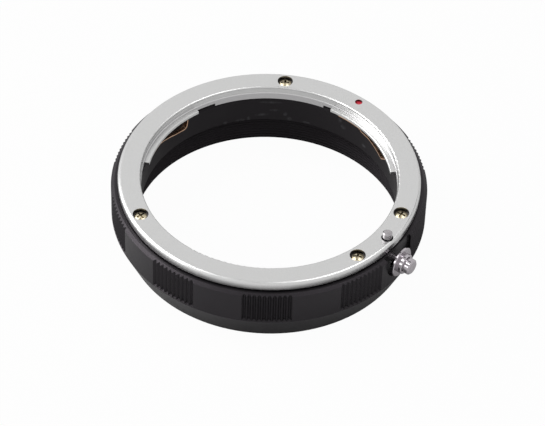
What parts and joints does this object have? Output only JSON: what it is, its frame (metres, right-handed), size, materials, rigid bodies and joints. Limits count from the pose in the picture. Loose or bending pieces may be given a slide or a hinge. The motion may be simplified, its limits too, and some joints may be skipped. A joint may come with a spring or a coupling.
{
  "type": "reverse lens protection ring",
  "caption": "Knurled black ring with a female bayonet, sprung lock pin and side release knob on top and a female filter thread below, for the rear of a reversed lens.",
  "frame": {"origin": "centre of the filter thread at its mouth, on the plane of the bottom rim", "axes": "+Z along the axis of the ring out of the bayonet, +X through the lock pin and out along the release knob"},
  "size_m": [0.0699, 0.0664, 0.0178],
  "materials": {
    "black_anodised": "black anodised, satin",
    "satin_silver": "satin chrome",
    "spring_bronze": "bare phosphor bronze strip",
    "yellow_zinc": "yellow zinc plated",
    "red_paint": "gloss paint fill",
    "pin_steel": "turned",
    "spring_steel": "drawn wire",
    "bright_nickel": "bright plated, turned"
  },
  "bodies": {
    "body": {"barrel": "black_anodised", "bayonet_ring": "satin_silver", "leaf_spring_1": "spring_bronze", "leaf_spring_2": "spring_bronze", "leaf_spring_3": "spring_bronze", "mount_screw_1": "yellow_zinc", "mount_screw_2": "yellow_zinc", "mount_screw_3": "yellow_zinc", "mount_screw_4": "yellow_zinc", "index_dot": "red_paint", "pin_spring": "spring_steel"},
    "lock": {"lock_pin": "pin_steel", "release_knob": "bright_nickel", "knob_screw": "bright_nickel"}
  },
  "joints": [
    {"name": "lock_slide", "type": "slide", "parent": "body", "child": "lock", "axis": [0, 0, -1], "range_m": [0, 0.0016], "stiffness_N_per_m": 400, "springref_m": -0.002, "deforming": ["pin_spring"]}
  ]
}
